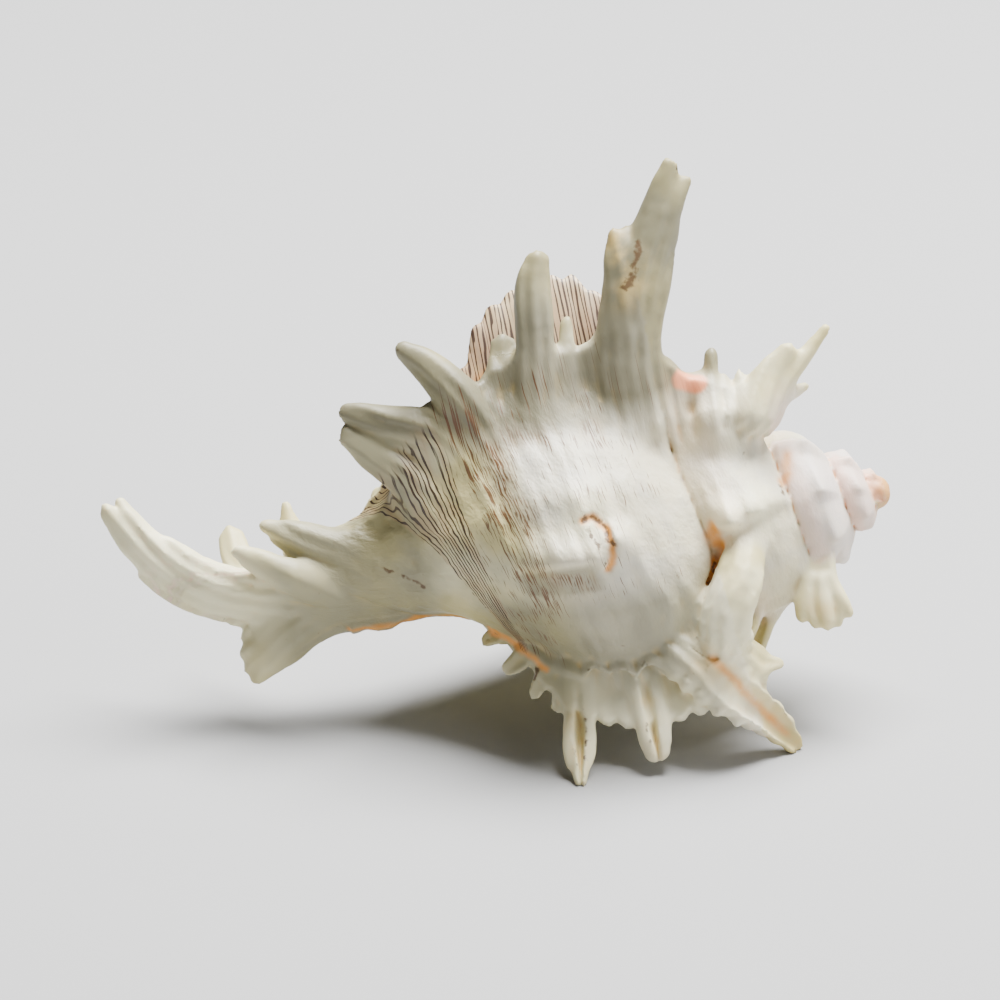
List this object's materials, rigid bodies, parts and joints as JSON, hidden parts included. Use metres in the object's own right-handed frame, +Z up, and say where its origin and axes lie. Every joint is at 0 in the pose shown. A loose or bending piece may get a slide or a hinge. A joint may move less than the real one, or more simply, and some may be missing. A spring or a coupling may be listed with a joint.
{
  "type": "murex shell",
  "caption": "Dried murex sea shell lying on its fronds: knobbed coiled body, frilled fronds, pointed spire, bent siphonal canal and a wide mouth behind.",
  "frame": {"origin": "centre of the bounding box in plan, on the surface that the shell lies on", "axes": "+X towards the tip of the spire, +Y towards the mouth at the back, +Z up"},
  "size_m": [0.1878, 0.09, 0.1347],
  "materials": {
    "shell": "waxy natural shell, creamy white with thin brown spiral lines"
  },
  "bodies": {
    "root": {"shell": "shell"}
  },
  "joints": []
}
